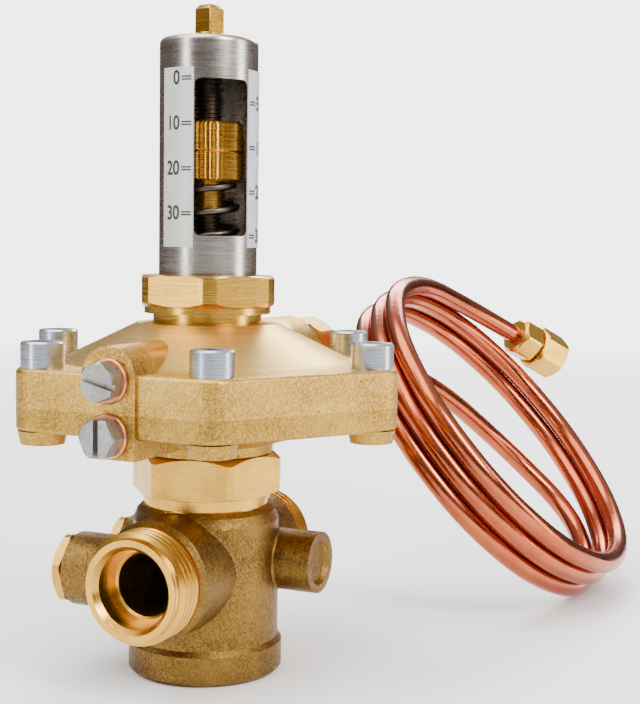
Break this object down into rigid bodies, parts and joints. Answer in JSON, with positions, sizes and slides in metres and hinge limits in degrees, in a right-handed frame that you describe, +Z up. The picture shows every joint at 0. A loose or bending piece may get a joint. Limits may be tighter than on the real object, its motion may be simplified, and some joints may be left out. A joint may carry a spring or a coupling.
{
  "type": "three-way differential pressure valve",
  "caption": "Three-way valve with a cast body, hexagonal diaphragm housing, spring tube with a setpoint scale, and a coiled copper impulse tube.",
  "frame": {"origin": "Centre of the bottom port's face, on the valve's axis; the valve stands on this face.", "axes": "+Z runs up the stem and the setpoint spindle. The side ports face -Y (front) and +Y (rear). The vent screws face -Y, the impulse tube leaves along +Y, and the plugged tapping bosses face -X."},
  "size_m": [0.1318, 0.2332, 0.1636],
  "materials": {
    "cast_bronze": "as-cast, fine sand texture",
    "cast_brass": "as-cast with satin turned faces",
    "machined_brass": "turned and milled bright brass",
    "stainless": "circumferentially brushed stainless steel",
    "zinc_steel": "zinc-plated steel",
    "spring_steel": "drawn spring steel wire",
    "copper": "drawn copper, lightly tarnished",
    "rubber": "black EPDM rubber",
    "label": "printed polyester scale",
    "ptfe": "white PTFE"
  },
  "bodies": {
    "housing": {"valve_body": "cast_bronze", "front_tapping_plug": "machined_brass", "rear_tapping_plug": "machined_brass", "tapping_seals": "copper", "bonnet": "machined_brass", "bonnet_seal": "copper", "stem_guide": "ptfe", "stem_seal": "rubber", "gland_screw": "machined_brass", "lower_cover": "cast_brass", "upper_cover": "cast_brass", "cover_screws": "zinc_steel", "diaphragm": "rubber", "top_nut": "machined_brass", "spring_tube": "stainless", "left_scale_label": "label", "right_scale_label": "label", "thrust_washer": "ptfe", "setpoint_spring": "spring_steel", "adapter_washer": "copper", "impulse_adapter": "machined_brass", "near_ferrule": "machined_brass", "near_nut": "machined_brass", "impulse_tube": "copper", "far_nut": "machined_brass", "far_ferrule": "machined_brass", "far_coupling": "machined_brass"},
    "stem": {"valve_stem": "stainless", "valve_plug": "machined_brass", "plug_seals": "rubber", "lower_plate": "stainless", "upper_plate": "stainless", "stem_nut": "zinc_steel", "spring_seat": "machined_brass"},
    "spindle": {"adjusting_spindle": "stainless", "retaining_ring": "spring_steel"},
    "setpoint_nut_body": {"setpoint_nut": "machined_brass"},
    "upper_vent_carrier": {"upper_vent_washer": "copper"},
    "upper_vent": {"upper_vent_screw": "zinc_steel"},
    "lower_vent_carrier": {"lower_vent_washer": "copper"},
    "lower_vent": {"lower_vent_screw": "zinc_steel"}
  },
  "joints": [
    {"name": "spindle_turn", "type": "hinge", "parent": "housing", "child": "spindle", "pos_m": [0, 0, 0.1553], "axis": [0, 0, 1], "range_deg": [-5910, 7370]},
    {"name": "setpoint_slide", "type": "slide", "parent": "housing", "child": "setpoint_nut_body", "axis": [0, 0, 1], "range_m": [-0.02045, 0.0164], "deforming": ["setpoint_spring"]},
    {"name": "stem_lift", "type": "slide", "parent": "housing", "child": "stem", "axis": [0, 0, 1], "range_m": [0, 0.0035], "deforming": ["diaphragm"]},
    {"name": "upper_vent_out", "type": "slide", "parent": "housing", "child": "upper_vent_carrier", "axis": [0, -1, 0], "range_m": [0, 0.004]},
    {"name": "upper_vent_turn", "type": "hinge", "parent": "upper_vent_carrier", "child": "upper_vent", "pos_m": [0, -0.046, 0.0758], "axis": [0, -1, 0], "range_deg": [0, 1441]},
    {"name": "lower_vent_out", "type": "slide", "parent": "housing", "child": "lower_vent_carrier", "axis": [0, -1, 0], "range_m": [0, 0.004]},
    {"name": "lower_vent_turn", "type": "hinge", "parent": "lower_vent_carrier", "child": "lower_vent", "pos_m": [0, -0.046, 0.0636], "axis": [0, -1, 0], "range_deg": [0, 1441]}
  ],
  "couplings": [
    {"joint": "spindle_turn", "follows": "setpoint_slide", "rad_per_m": -6283.2},
    {"joint": "upper_vent_turn", "follows": "upper_vent_out", "rad_per_m": 6283.2},
    {"joint": "lower_vent_turn", "follows": "lower_vent_out", "rad_per_m": 6283.2}
  ]
}
